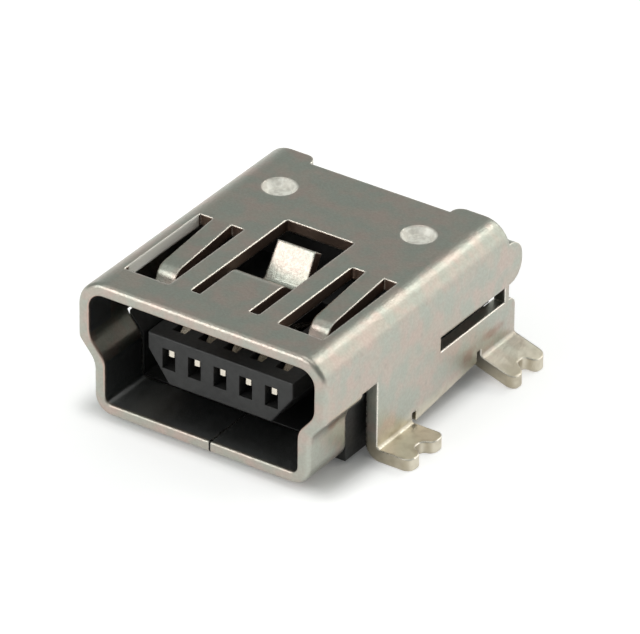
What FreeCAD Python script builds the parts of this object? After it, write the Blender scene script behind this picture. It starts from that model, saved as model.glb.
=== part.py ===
import FreeCAD, Part
import Sketcher
import os

# Miniature five-contact socket that is soldered flat onto a circuit board.
# The mouth faces -Y, the board lies at z = 0 and +Z points away from it.
# Inside a body, y is measured from the rim of the mouth towards the rear.

doc = FreeCAD.newDocument("mini_usb_socket")
dims = doc.addObject("Spreadsheet::Sheet", "dims")


def size(row, name, value, meaning):
    """Write one driving dimension, in millimetres or degrees, and name it."""
    dims.set("A%d" % row, name)
    dims.set("B%d" % row, str(value))
    dims.set("C%d" % row, meaning)
    dims.setAlias("B%d" % row, name)


DRIVING_SIZES = [
    ("shell_width", 7.7, "outside width of the sheet metal shell"),
    ("shell_height", 3.87, "outside height of the mouth ring"),
    ("ring_standoff", 0.2, "gap between the mouth ring and the board"),
    ("sheet_gauge", 0.35, "thickness of the shell's sheet"),
    ("roof_bend", 0.8, "outer radius between the roof and a side wall"),
    ("floor_bend", 0.55, "outer radius at the mouth ring's lower corners"),
    ("step_wide", 0.5, "how far each side of the mouth steps inwards below"),
    ("step_low", 1.8, "height above the board where the mouth starts to widen"),
    ("step_tall", 0.6, "height over which the mouth widens"),
    ("step_round", 0.6, "bend radius of the widening"),
    ("shoulder_round", 0.25, "bend radius of the widening's outer shoulder"),
    ("shoulder_flat", 0.01, "flat wall between that shoulder and the slot behind it"),
    ("rim_outside", 0.15, "rounded outer edge of the mouth's rim"),
    ("rim_inside", 0.05, "rounded inner edge of the mouth's rim"),
    ("ring_depth", 1.7, "depth of the closed mouth ring"),
    ("seam_x", 0.3, "sideways place of the seam in the ring's floor"),
    ("seam_gap", 0.03, "width of that seam"),
    ("roof_depth", 8.25, "mouth to the middle of the roof's rear edge"),
    ("lobe_reach", 0.35, "how far the roof's rear corners pass that edge"),
    ("lobe_start", 2.2, "distance from the centre plane to a rear corner lobe"),
    ("lobe_round", 0.3, "rounded inner corner of a lobe"),
    ("wall_front_low", 0.3, "height of a side wall's lower edge behind a front leg"),
    ("wall_rear_low", 0.62, "height of that edge in front of a rear leg"),
    ("ear_drop", 1.22, "roof's top face to the middle of a side wall's rear ear"),
    ("ear_tall", 1.2, "height of a rear ear"),
    ("ear_reach", 0.6, "how far a rear ear passes the rear corners"),
    ("front_leg_start", 2.42, "mouth to the front edge of a front leg"),
    ("front_leg_long", 1.63, "length of a front leg along the shell"),
    ("rear_leg_past", 0.3, "how far a rear leg's rear edge passes the rear corners"),
    ("rear_leg_long", 1.6, "length of a rear leg along the shell"),
    ("leg_round", 0.26, "rounded upper rear corner of a rear leg"),
    ("relief_wide", 0.2, "width of the notch beside a bent foot"),
    ("relief_tall", 0.32, "height of that notch over the side wall's lower edge"),
    ("slot_web", 0.18, "side slot's rear end to the rear corners"),
    ("slot_long", 3.07, "length of a side slot"),
    ("slot_drop", 2.27, "roof's top face to a side slot's lower edge"),
    ("slot_tall", 0.45, "height of a side slot"),
    ("foot_reach", 1.03, "how far a foot stands out from the side wall"),
    ("rear_foot_rise", 0.44, "how much higher a rear foot lies at its leg"),
    ("foot_bend", 0.1, "inner radius between a leg and its foot"),
    ("foot_notch_wide", 0.5, "width of the notch in a foot's outer edge"),
    ("foot_notch_deep", 0.32, "depth of that notch"),
    ("foot_round", 0.24, "rounded outer corner of a foot"),
    ("window_width", 2.12, "width of the window in the roof"),
    ("window_front", 1.1, "mouth to the window's front end"),
    ("window_rear", 5.5, "mouth to the window's rear end"),
    ("window_round", 0.08, "rounded corner of a window or slot in the roof"),
    ("latch_slot", 0.3, "gap at each side of the latch tab in the window"),
    ("latch_taper", 0.18, "how far each side of the tab slants in to its free end"),
    ("latch_crest", 2.65, "mouth to the place where the latch tab bends down"),
    ("latch_dip_at", 3.78, "mouth to the lowest place of the latch tab"),
    ("latch_clear", 0.35, "gap between that place and the tongue"),
    ("latch_end", 4.38, "mouth to the latch tab's free end"),
    ("latch_lift", 0.1, "how far the free end stands over the roof"),
    ("latch_bend", 0.12, "inner radius of the latch tab's bends"),
    ("finger_shift", 0.075, "finger's middle to the middle between window and side"),
    ("finger_width", 0.58, "width of a spring finger"),
    ("finger_gap", 0.41, "slot at each side of a spring finger"),
    ("finger_front", 1.03, "mouth to the front end of a finger's opening"),
    ("finger_root", 4.45, "mouth to a spring finger's root"),
    ("finger_bend", 1.95, "mouth to the place where a finger bends down"),
    ("finger_clear", 0.53, "height of a finger's tip over the tongue"),
    ("finger_run", 0.14, "how far that tip lies in front of the bend"),
    ("finger_toe", 0.3, "length of a finger's level toe"),
    ("finger_round", 0.08, "inner radius of a finger's bends"),
    ("dimple_inset", 0.2, "how much nearer the centre plane a dimple is than a finger"),
    ("dimple_shift", 0.325, "dimple's middle to the middle of the housing's body"),
    ("dimple_wide", 0.98, "width of a pressed dimple at the roof's face"),
    ("dimple_deep", 0.18, "depth of a pressed dimple"),
    ("side_clearance", 0.05, "gap between the moulded housing and the shell"),
    ("base_start", 1.78, "mouth to the front face of the housing's base"),
    ("base_lift", 0.13, "gap between the housing's base and the board"),
    ("base_floor", 0.55, "height above the board of the cavity's moulded floor"),
    ("body_start", 6.0, "mouth to the rear wall of the plug cavity"),
    ("tongue_start", 0.9, "mouth to the tongue's front face"),
    ("tongue_margin", 0.46, "outermost contact groove to the tongue's side"),
    ("tongue_low", 1.15, "height of the tongue's underside above the board"),
    ("tongue_tall", 1.38, "thickness of the tongue"),
    ("taper_wide", 0.66, "how far each side of the tongue slants in below"),
    ("taper_tall", 0.9, "height over which it slants in"),
    ("tongue_round", 0.05, "rounded edge of the tongue's front face"),
    ("groove_width", 0.4, "width of a contact groove in the tongue"),
    ("groove_low", 1.6, "height of a groove's floor above the board"),
    ("groove_lip", 0.44, "length of the closed lip in front of a groove"),
    ("lip_under", 2.2, "height of that lip's underside above the board"),
    ("groove_rear", 0.4, "open groove behind a contact's bow"),
    ("contact_pitch", 0.8, "distance between neighbouring contacts"),
    ("contact_width", 0.24, "width of a contact"),
    ("contact_tip_round", 0.08, "rounded corner of a contact's tip, seen from above"),
    ("contact_gauge", 0.2, "thickness of a contact's strip"),
    ("contact_fit", 0.02, "gap around a contact in its channel"),
    ("beam_level", 2.02, "height of the underside of a contact in its channel"),
    ("tip_set_back", 0.1, "how far a contact's tip lies inside the tongue"),
    ("tip_level", 1.94, "height of the underside of a contact's tip"),
    ("bow_rise", 0.86, "length of the slope up to a contact's bow"),
    ("bow_long", 0.55, "length of the flat crest of a contact's bow"),
    ("bow_level", 2.55, "height of the underside of that crest"),
    ("bow_fall", 1.55, "length of the slope down from that crest"),
    ("drop_gap", 0.06, "gap between the housing's rear and a contact's bend"),
    ("tail_reach", 1.25, "how far a contact's solder tail passes the roof's rear"),
    ("strip_round", 0.18, "bend radius of a contact"),
]
for row, (name, value, meaning) in enumerate(DRIVING_SIZES, start=1):
    size(row, name, value, meaning)
doc.recompute()

# Heights and places that several pieces share.
TOP = "(dims.ring_standoff + dims.shell_height)"
CEILING = "(%s - dims.sheet_gauge)" % TOP
RING_FLOOR = "(dims.ring_standoff + dims.sheet_gauge)"
OUTER_X = "(dims.shell_width / 2)"
INNER_X = "(dims.shell_width / 2 - dims.sheet_gauge)"
THROAT_X = "(dims.shell_width / 2 - dims.sheet_gauge - dims.step_wide)"
OUTER_THROAT_X = "(%s + dims.sheet_gauge)" % THROAT_X
STEP_HIGH = "(dims.step_low + dims.step_tall)"
HALF_STEP_TURN = "(atan(dims.step_wide / dims.step_tall) / 2)"
STEP_SHIFT = "(dims.sheet_gauge * tan(%s))" % HALF_STEP_TURN
OUTER_STEP_HIGH = "(%s - %s)" % (STEP_HIGH, STEP_SHIFT)
LEG_SLOT_TOP = ("(%s + dims.shoulder_round * tan(%s) + dims.shoulder_flat)"
                % (OUTER_STEP_HIGH, HALF_STEP_TURN))
INNER_ROOF_BEND = "(dims.roof_bend - dims.sheet_gauge)"
INNER_FLOOR_BEND = "(dims.floor_bend - dims.sheet_gauge)"
TONGUE_TOP = "(dims.tongue_low + dims.tongue_tall)"
CORNER_DEPTH = "(dims.roof_depth + dims.lobe_reach)"
TAIL_END = "(dims.roof_depth + dims.tail_reach)"
GROOVE_START = "(dims.tongue_start + dims.groove_lip)"
WINDOW_X = "(dims.window_width / 2)"
FINGER_X = "((%s + %s) / 2 - dims.finger_shift)" % (WINDOW_X, OUTER_X)
DIMPLE_X = "(%s - dims.dimple_inset)" % FINGER_X
DIMPLE_Y = "((dims.body_start + dims.roof_depth) / 2 - dims.dimple_shift)"
MIDDLE_CONTACT = 2
CONTACT_COUNT = 5
OVERSHOOT = 1.0


def number(expression):
    """Value of an expression over the sheet's sizes, as a plain number."""
    result = dims.evalExpression(expression.replace("dims.", ""))
    return float(getattr(result, "Value", result))


def new_body(name):
    """A body whose y = 0 lies at the rim and whose bounds centre on the origin."""
    body = doc.addObject("PartDesign::Body", name)
    body.Label = name
    body.setExpression("Placement.Base.y", "-%s / 2" % TAIL_END)
    return body


def plane_of(body, role):
    """One of the body's own origin planes."""
    return [f for f in body.Origin.OriginFeatures if f.Role == role][0]


def new_sketch(body, name, role, offset="0"):
    """An empty sketch on an origin plane, moved along the plane's normal."""
    sketch = body.newObject("Sketcher::SketchObject", name)
    sketch.AttachmentSupport = [(plane_of(body, role), "")]
    sketch.MapMode = "FlatFace"
    sketch.setExpression("AttachmentOffset.Base.z", offset)
    return sketch


def pin(sketch, index, corner):
    """Hold the start of one line at the place that two expressions give."""
    for kind, expression in zip(("DistanceX", "DistanceY"), corner):
        value = number(expression)
        held = sketch.addConstraint(
            Sketcher.Constraint(kind, -1, 1, index, 1, value))
        sketch.setExpression("Constraints[%d]" % held, expression)


def add_outline(sketch, corners):
    """A closed polygon; each corner is a pair of expressions."""
    first = sketch.GeometryCount
    places = [FreeCAD.Vector(number(u), number(v), 0) for u, v in corners]
    count = len(corners)
    for k in range(count):
        sketch.addGeometry(Part.LineSegment(places[k], places[(k + 1) % count]), False)
    for k in range(count):
        follower = first + (k + 1) % count
        sketch.addConstraint(
            Sketcher.Constraint("Coincident", first + k, 2, follower, 1))
    for k in range(count):
        pin(sketch, first + k, corners[k])


def rectangle(left, low, right, high):
    """Corners of an upright rectangle."""
    return [(left, low), (right, low), (right, high), (left, high)]


def mirrored(corners):
    """The same outline on the other side of the sketch's vertical axis."""
    return [("-(%s)" % u, v) for u, v in reversed(corners)]


def sweep(body, kind, name, sketch, length, reversed_, midplane):
    """Extrude a sketch, adding to the body or cutting from it."""
    feature = body.newObject("PartDesign::" + kind, name)
    feature.Profile = sketch
    feature.Reversed = reversed_
    feature.Midplane = midplane
    feature.setExpression("Length", length)
    doc.recompute([sketch, feature])
    return feature


def pad(body, name, sketch, length, reversed_=False, midplane=False):
    return sweep(body, "Pad", name, sketch, length, reversed_, midplane)


def pocket(body, name, sketch, length, reversed_=False, midplane=False):
    return sweep(body, "Pocket", name, sketch, length, reversed_, midplane)


def fillet(body, name, base, radius, wanted):
    """Round the edges of the base for which wanted(edge) is true."""
    picked = ["Edge%d" % (k + 1) for k, edge in enumerate(base.Shape.Edges)
              if wanted(edge)]
    feature = body.newObject("PartDesign::Fillet", name)
    feature.Base = (base, picked)
    feature.setExpression("Radius", radius)
    doc.recompute([feature])
    return feature


def is_along(edge, axis):
    """True for a straight edge parallel to an axis."""
    if edge.Curve.TypeId != "Part::GeomLine":
        return False
    return abs(abs(edge.Curve.Direction.dot(axis)) - 1) < 1e-6


def is_at(edge, places, axes="xz", tolerance=1e-3):
    """True when the edge's middle has the coordinates of one of the places."""
    middle = edge.BoundBox.Center
    seen = [getattr(middle, axis) for axis in axes]
    return any(all(abs(a - b) < tolerance for a, b in zip(seen, place))
               for place in places)


X_AXIS = FreeCAD.Vector(1, 0, 0)
Y_AXIS = FreeCAD.Vector(0, 1, 0)
Z_AXIS = FreeCAD.Vector(0, 0, 1)


# Shell, folded from one sheet.
shell = new_body("shell")

# Roof and side walls, bent from the sheet.
EAR_DEPTH = "(%s + dims.ear_reach)" % CORNER_DEPTH
wall_outer = [(OUTER_X, "dims.wall_front_low"), (OUTER_X, TOP)]
wall_inner = [(INNER_X, "dims.wall_front_low"), (INNER_X, CEILING)]
walls_sketch = new_sketch(shell, "walls_outline", "XZ_Plane")
add_outline(walls_sketch, wall_outer + mirrored(wall_outer)
            + list(reversed(mirrored(wall_inner))) + list(reversed(wall_inner)))
walls = pad(shell, "walls", walls_sketch, EAR_DEPTH, reversed_=True)


def both_sides(pairs):
    """Places given by expressions, on both sides of the centre plane."""
    found = []
    for u, v in pairs:
        found.append((number(u), number(v)))
        found.append((-number(u), number(v)))
    return found


def round_along(name, base, radius, pairs):
    """Round the shell's edges that run from front to rear at given x and z."""
    places = both_sides(pairs)
    return fillet(shell, name, base, radius,
                  lambda edge: is_along(edge, Y_AXIS) and is_at(edge, places))


walls = round_along("roof_bends_outside", walls, "dims.roof_bend", [wall_outer[1]])
walls = round_along("roof_bends_inside", walls, INNER_ROOF_BEND, [wall_inner[1]])

# Side view: slots, notches beside the feet, and the outline of the rear.
FRONT_LEG_END = "(dims.front_leg_start + dims.front_leg_long)"
REAR_LEG_END = "(%s + dims.rear_leg_past)" % CORNER_DEPTH
REAR_LEG_START = "(%s - dims.rear_leg_long)" % REAR_LEG_END
FRONT_RELIEF_TOP = "(dims.wall_front_low + dims.relief_tall)"
REAR_RELIEF_TOP = "(dims.wall_rear_low + dims.relief_tall)"
SLOT_LOW = "(%s - dims.slot_drop)" % TOP
SLOT_END = "(%s - dims.slot_web)" % CORNER_DEPTH
EAR_LOW = "(%s - dims.ear_drop - dims.ear_tall / 2)" % TOP
EAR_HIGH = "(%s - dims.ear_drop + dims.ear_tall / 2)" % TOP
BELOW = "-%g" % OVERSHOOT
ABOVE = "(%s + %g)" % (TOP, OVERSHOOT)
BEHIND = "(%s + %g)" % (EAR_DEPTH, OVERSHOOT)
side_cuts = new_sketch(shell, "side_cuts", "YZ_Plane")
add_outline(side_cuts, rectangle(BELOW, BELOW, "dims.front_leg_start", LEG_SLOT_TOP))
add_outline(side_cuts, [
    (FRONT_LEG_END, BELOW), (BEHIND, BELOW), (BEHIND, ABOVE), (CORNER_DEPTH, ABOVE),
    (CORNER_DEPTH, EAR_HIGH), (EAR_DEPTH, EAR_HIGH),
    (EAR_DEPTH, EAR_LOW), (CORNER_DEPTH, EAR_LOW),
    (CORNER_DEPTH, SLOT_LOW), (REAR_LEG_END, SLOT_LOW), (REAR_LEG_END, REAR_RELIEF_TOP),
    (REAR_LEG_START + " - dims.relief_wide", REAR_RELIEF_TOP),
    (REAR_LEG_START + " - dims.relief_wide", "dims.wall_rear_low"),
    (FRONT_LEG_END + " + dims.relief_wide", "dims.wall_front_low"),
    (FRONT_LEG_END + " + dims.relief_wide", FRONT_RELIEF_TOP),
    (FRONT_LEG_END, FRONT_RELIEF_TOP)])
add_outline(side_cuts, rectangle(SLOT_END + " - dims.slot_long", SLOT_LOW,
                                 SLOT_END, SLOT_LOW + " + dims.slot_tall"))
sides = pocket(shell, "side_openings", side_cuts,
               "dims.shell_width + %g" % OVERSHOOT, midplane=True)


def in_shell(u, v):
    """Place in the side view, as numbers, for is_at over y and z."""
    return (number(u), number(v))


sides = fillet(shell, "ear_corners", sides, "0.45 * dims.ear_tall",
               lambda edge: is_along(edge, X_AXIS) and is_at(
                   edge, [in_shell(EAR_DEPTH, EAR_HIGH),
                          in_shell(EAR_DEPTH, EAR_LOW)], "yz"))
sides = fillet(shell, "leg_corners", sides,
               "min(dims.leg_round; 0.9 * (%s - %s))" % (REAR_LEG_END, CORNER_DEPTH),
               lambda edge: is_along(edge, X_AXIS) and is_at(
                   edge, [in_shell(REAR_LEG_END, SLOT_LOW)], "yz"))

# Lower part of the closed mouth ring: a step inwards, then the floor.
ring_outer = [
    (OUTER_THROAT_X, "dims.ring_standoff"),
    (OUTER_THROAT_X, "dims.step_low - " + STEP_SHIFT),
    (OUTER_X, OUTER_STEP_HIGH)]
ring_inner = [
    (THROAT_X, RING_FLOOR), (THROAT_X, "dims.step_low"), (INNER_X, STEP_HIGH)]
ring_half = (ring_outer + [(OUTER_X, LEG_SLOT_TOP), (INNER_X, LEG_SLOT_TOP)]
             + ring_inner[::-1])
ring_sketch = new_sketch(shell, "ring_outline", "XZ_Plane")
add_outline(ring_sketch, ring_half + mirrored(ring_half))
ring = pad(shell, "ring", ring_sketch, "dims.ring_depth", reversed_=True)
ring = round_along("ring_floor_outside", ring, "dims.floor_bend", [ring_outer[0]])
ring = round_along("ring_floor_inside", ring, INNER_FLOOR_BEND, [ring_inner[0]])
ring = round_along("ring_steps", ring, "dims.step_round",
                   ring_outer[1:2] + ring_inner[1:])
ring = round_along("ring_shoulders", ring, "dims.shoulder_round", ring_outer[2:])


def rim_outline(solid):
    """Edges around the outside of the mouth's front face."""
    front = [face for face in solid.Faces if face.CenterOfMass.y < 1e-6][0]
    return front.OuterWire.Edges


outline = rim_outline(ring.Shape)
ring = fillet(shell, "rim_outside", ring, "dims.rim_outside",
              lambda edge: any(edge.isSame(other) for other in outline))
outline = rim_outline(ring.Shape)
ring = fillet(shell, "rim_inside", ring, "dims.rim_inside",
              lambda edge: edge.BoundBox.YMax < 1e-6
              and not any(edge.isSame(other) for other in outline))

# Top view: window, finger openings and the rear edge between the corners.
FINGER_OPENING_X = "(dims.finger_width / 2 + dims.finger_gap)"
finger_opening = rectangle("%s - %s" % (FINGER_X, FINGER_OPENING_X), "dims.finger_front",
                           "%s + %s" % (FINGER_X, FINGER_OPENING_X), "dims.finger_root")
roof_cuts = new_sketch(shell, "roof_cuts", "XY_Plane", ABOVE)
add_outline(roof_cuts, rectangle("-" + WINDOW_X, "dims.window_front",
                                 WINDOW_X, "dims.window_rear"))
add_outline(roof_cuts, finger_opening)
add_outline(roof_cuts, mirrored(finger_opening))
add_outline(roof_cuts, rectangle("-dims.lobe_start", "dims.roof_depth",
                                 "dims.lobe_start", BEHIND))
roof = pocket(shell, "roof_openings", roof_cuts, "dims.roof_bend + %g" % OVERSHOOT)


def is_corner(edge, pairs):
    return is_along(edge, Z_AXIS) and is_at(edge, both_sides(pairs), "xy")


opening_corners = [finger_opening[0], finger_opening[3],
                   (WINDOW_X, "dims.window_front"), (WINDOW_X, "dims.window_rear")]
roof = fillet(shell, "opening_corners", roof, "dims.window_round",
              lambda edge: is_corner(edge, opening_corners))
roof = fillet(shell, "lobe_corners", roof, "dims.lobe_round",
              lambda edge: is_corner(edge, [("dims.lobe_start", CORNER_DEPTH)]))

# Legs with their feet: the front ones flat, the rear ones slanting down outwards.
FOOT_X = "(%s + dims.foot_reach)" % OUTER_X


def add_legs(name, start, length, rise, top):
    """A pair of legs, one on each side; each foot falls by the rise to z = 0."""
    thick = "(dims.sheet_gauge / cos(atan(%s / (%s - %s))))" % (rise, FOOT_X, INNER_X)
    crook = "(%s * dims.foot_reach / (%s - %s) + %s)" % (rise, FOOT_X, INNER_X, thick)
    profile = [(INNER_X, rise), (FOOT_X, "0"), (FOOT_X, thick),
               (OUTER_X, crook), (OUTER_X, top), (INNER_X, top)]
    sketch = new_sketch(shell, name + "_outline", "XZ_Plane", "-" + start)
    add_outline(sketch, profile)
    add_outline(sketch, mirrored(profile))
    legs = pad(shell, name, sketch, length, reversed_=True)
    legs = round_along(name + "_bends_inside", legs, "dims.foot_bend",
                       [(OUTER_X, crook)])
    return round_along(name + "_bends_outside", legs,
                       "dims.foot_bend + dims.sheet_gauge", [(INNER_X, rise)])


add_legs("front_legs", "dims.front_leg_start", "dims.front_leg_long",
         "0", FRONT_RELIEF_TOP)
legs = add_legs("rear_legs", REAR_LEG_START, "dims.rear_leg_long",
                "dims.rear_foot_rise", REAR_RELIEF_TOP)

NOTCH_X = "(%s - dims.foot_notch_deep)" % FOOT_X
foot_cuts = new_sketch(shell, "foot_cuts", "XY_Plane", REAR_RELIEF_TOP)
notch_corners = []
foot_corners = []
for start, long in (("dims.front_leg_start", "dims.front_leg_long"),
                    (REAR_LEG_START, "dims.rear_leg_long")):
    low = "%s + (%s - dims.foot_notch_wide) / 2" % (start, long)
    high = "%s + (%s + dims.foot_notch_wide) / 2" % (start, long)
    notch = rectangle(NOTCH_X, low, FOOT_X + " + %g" % OVERSHOOT, high)
    add_outline(foot_cuts, notch)
    add_outline(foot_cuts, mirrored(notch))
    notch_corners += [(NOTCH_X, low), (NOTCH_X, high)]
    foot_corners += [(FOOT_X, start), (FOOT_X, start + " + " + long),
                     (FOOT_X, low), (FOOT_X, high)]
feet = pocket(shell, "foot_notches", foot_cuts, "%s + %g" % (REAR_RELIEF_TOP, OVERSHOOT))
feet = fillet(shell, "notch_corners", feet, "0.4 * dims.foot_notch_wide",
              lambda edge: is_corner(edge, notch_corners))
feet = fillet(shell, "foot_corners", feet, "dims.foot_round",
              lambda edge: is_corner(edge, foot_corners))


def strip(path, gauge, side):
    """Outline of a bent strip from the corners of one of its two sides.

    The path runs with growing first coordinates; side is 1 when the strip's
    thickness lies to the left of the path and -1 when it lies to the right.
    """
    angles = ["atan2(%s - (%s); %s - (%s))" % (b[1], a[1], b[0], a[0])
              for a, b in zip(path, path[1:])]
    angles = [angles[0]] + angles + [angles[-1]]
    other_side = []
    for (u, v), before, after in zip(path, angles, angles[1:]):
        middle = "((%s + %s) / 2)" % (before, after)
        length = "(%d * %s / cos((%s - %s) / 2))" % (side, gauge, after, before)
        other_side.append(("%s - %s * sin(%s)" % (u, length, middle),
                           "%s + %s * cos(%s)" % (v, length, middle)))
    return path + other_side[::-1]


def bends(path, gauge, side):
    """The inner and the outer corners of a strip's bends, as numbers."""
    outline = strip(path, gauge, side)
    inner, outer = [], []
    for k in range(1, len(path) - 1):
        (ax, ay), (bx, by), (cx, cy) = [in_shell(*p) for p in path[k - 1:k + 2]]
        turn = (bx - ax) * (cy - by) - (by - ay) * (cx - bx)
        near = (bx, by)
        far = in_shell(*outline[2 * len(path) - 1 - k])
        inner.append(far if turn * side > 0 else near)
        outer.append(near if turn * side > 0 else far)
    return inner, outer


def round_strip(body, name, base, path, gauge, side, radius):
    """Give every bend of a strip its inner radius and the matching outer one."""
    inner, outer = bends(path, gauge, side)
    base = fillet(body, name + "_bends_inside", base, radius,
                  lambda edge: is_along(edge, X_AXIS) and is_at(edge, inner, "yz"))
    return fillet(body, name + "_bends_outside", base, "%s + %s" % (radius, gauge),
                  lambda edge: is_along(edge, X_AXIS) and is_at(edge, outer, "yz"))


# Latch tab in the window: level, then down, then up to its free end.
LATCH_X = "(%s - dims.latch_slot)" % WINDOW_X
LATCH_TIP_X = "(%s - dims.latch_taper)" % LATCH_X
LATCH_DIP = "(%s + dims.latch_clear + dims.sheet_gauge)" % TONGUE_TOP
latch_path = [
    ("dims.window_front - dims.sheet_gauge", TOP),
    ("dims.latch_crest", TOP),
    ("dims.latch_dip_at", LATCH_DIP),
    ("dims.latch_end", "%s + dims.latch_lift" % TOP)]
latch_sketch = new_sketch(shell, "latch_outline", "YZ_Plane")
add_outline(latch_sketch, strip(latch_path, "dims.sheet_gauge", -1))
latch = pad(shell, "latch", latch_sketch, "2 * " + LATCH_X, midplane=True)
latch = round_strip(shell, "latch", latch, latch_path, "dims.sheet_gauge", -1,
                    "dims.latch_bend")

taper = [(LATCH_X, "dims.latch_crest"),
         (LATCH_X + " + dims.window_round", "dims.latch_crest"),
         (LATCH_X + " + dims.window_round", "dims.latch_end + dims.sheet_gauge"),
         (LATCH_TIP_X, "dims.latch_end + dims.sheet_gauge"),
         (LATCH_TIP_X, "dims.latch_end")]
taper_sketch = new_sketch(shell, "latch_taper_outline", "XY_Plane",
                          "%s + dims.sheet_gauge" % TOP)
add_outline(taper_sketch, taper)
add_outline(taper_sketch, mirrored(taper))
taper_cut = pocket(shell, "latch_taper", taper_sketch,
                   "%s - %s + 3 * dims.sheet_gauge" % (TOP, LATCH_DIP))

# Two spring fingers, rooted at the rear, that press on the plug.
FINGER_TIP = "(%s + dims.finger_clear + dims.sheet_gauge)" % TONGUE_TOP
finger_path = [
    ("dims.finger_bend - dims.finger_run - dims.finger_toe", FINGER_TIP),
    ("dims.finger_bend - dims.finger_run", FINGER_TIP),
    ("dims.finger_bend", "(2 * %s + %s) / 3" % (TOP, FINGER_TIP)),
    ("dims.finger_root", TOP),
    ("dims.finger_root + dims.sheet_gauge", TOP)]
for name, edge_x in (("right", "%s - dims.finger_width / 2" % FINGER_X),
                     ("left", "-%s - dims.finger_width / 2" % FINGER_X)):
    finger_sketch = new_sketch(shell, name + "_finger_outline", "YZ_Plane", edge_x)
    add_outline(finger_sketch, strip(finger_path, "dims.sheet_gauge", -1))
    finger = pad(shell, name + "_finger", finger_sketch, "dims.finger_width")
finger = round_strip(shell, "finger", finger, finger_path[:4], "dims.sheet_gauge", -1,
                     "dims.finger_round")


def add_cone(body, kind, name, x, y, z, low_radius, high_radius, height):
    """A cone about a vertical axis, added to or cut from the body."""
    cone = body.newObject("PartDesign::" + kind, name)
    cone.AttachmentSupport = [(plane_of(body, "XY_Plane"), "")]
    cone.MapMode = "FlatFace"
    for axis, expression in zip("xyz", (x, y, z)):
        cone.setExpression("AttachmentOffset.Base." + axis, expression)
    cone.setExpression("Radius1", low_radius)
    cone.setExpression("Radius2", high_radius)
    cone.setExpression("Height", height)
    doc.recompute([cone])
    return cone


# Dimples pressed down into the housing, which hold the two together.
DIMPLE_R = "(dims.dimple_wide / 2)"
DIMPLE_WALL = "(dims.sheet_gauge * tan(22.5))"
for side_name, dimple_x in (("right", DIMPLE_X), ("left", "-" + DIMPLE_X)):
    add_cone(shell, "AdditiveCone", side_name + "_dimple_bulge",
             dimple_x, DIMPLE_Y, "%s - dims.dimple_deep" % CEILING,
             "%s - dims.dimple_deep + %s" % (DIMPLE_R, DIMPLE_WALL),
             "%s + %s" % (DIMPLE_R, DIMPLE_WALL), "dims.dimple_deep")
    add_cone(shell, "SubtractiveCone", side_name + "_dimple",
             dimple_x, DIMPLE_Y, "%s - dims.dimple_deep" % TOP,
             "%s - dims.dimple_deep" % DIMPLE_R, "%s + dims.dimple_deep" % DIMPLE_R,
             "2 * dims.dimple_deep")

# Seam where the folded sheet meets itself under the mouth.
seam_sketch = new_sketch(shell, "seam_outline", "XY_Plane")
add_outline(seam_sketch, rectangle("dims.seam_x - dims.seam_gap / 2", BELOW,
                                   "dims.seam_x + dims.seam_gap / 2",
                                   "dims.ring_depth + %g" % OVERSHOOT))
seam = pocket(shell, "seam", seam_sketch, RING_FLOOR + " + dims.rim_outside",
              reversed_=True)

# Housing, one black moulding with base, side walls, tongue and body.
housing = new_body("housing")

BASE_X = "(%s - dims.side_clearance)" % OUTER_THROAT_X
CAVITY_X = "(%s - dims.side_clearance)" % INNER_X
STEP_SLOPE = "(dims.step_tall / dims.step_wide)"
LEDGE_TOP = "(dims.step_low + (%s - %s) * %s)" % (CAVITY_X, THROAT_X, STEP_SLOPE)
SHOULDER = "(%s - (%s - %s) * %s)" % (OUTER_STEP_HIGH, OUTER_X, BASE_X, STEP_SLOPE)
LEDGE_LOW = "(%s + (%s - %s))" % (SHOULDER, CAVITY_X, BASE_X)
CAVITY_TOP = "(%s - dims.side_clearance)" % CEILING

# Base and side walls, which carry on the narrow part of the mouth.
trough_half = [
    (BASE_X, "dims.base_lift"), (BASE_X, SHOULDER), (CAVITY_X, LEDGE_LOW),
    (CAVITY_X, LEDGE_TOP), (THROAT_X, "dims.step_low"), (THROAT_X, "dims.base_floor")]
trough_sketch = new_sketch(housing, "trough_outline", "XZ_Plane", "-dims.base_start")
add_outline(trough_sketch, trough_half + mirrored(trough_half))
trough = pad(housing, "trough", trough_sketch, "dims.body_start - dims.base_start",
             reversed_=True)

# Body that fills the rear of the shell.
body_half = [
    (BASE_X, "dims.base_lift"), (BASE_X, SHOULDER), (CAVITY_X, LEDGE_LOW),
    (CAVITY_X, CAVITY_TOP)]
body_sketch = new_sketch(housing, "body_outline", "XZ_Plane", "-dims.body_start")
add_outline(body_sketch, body_half + mirrored(body_half))
block = pad(housing, "body", body_sketch, "dims.roof_depth - dims.body_start",
            reversed_=True)
body_corners = both_sides([(CAVITY_X, CAVITY_TOP)])
block = fillet(housing, "body_corners", block, INNER_ROOF_BEND,
               lambda edge: is_along(edge, Y_AXIS) and is_at(edge, body_corners))

# Tongue in the middle of the mouth, which carries the contacts.
TONGUE_X = ("(%d * dims.contact_pitch + dims.groove_width / 2 + dims.tongue_margin)"
            % MIDDLE_CONTACT)
tongue_half = [
    (TONGUE_X + " - dims.taper_wide", "dims.tongue_low"),
    (TONGUE_X, "dims.tongue_low + dims.taper_tall"),
    (TONGUE_X, TONGUE_TOP)]
tongue_sketch = new_sketch(housing, "tongue_outline", "XZ_Plane", "-dims.tongue_start")
add_outline(tongue_sketch, tongue_half + mirrored(tongue_half))
tongue = pad(housing, "tongue", tongue_sketch, "dims.body_start - dims.tongue_start",
             reversed_=True)
tongue = fillet(housing, "tongue_edges", tongue, "dims.tongue_round",
                lambda edge: abs(edge.BoundBox.YMin - number("dims.tongue_start")) < 1e-6
                and edge.BoundBox.YLength < 1e-6)

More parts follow.
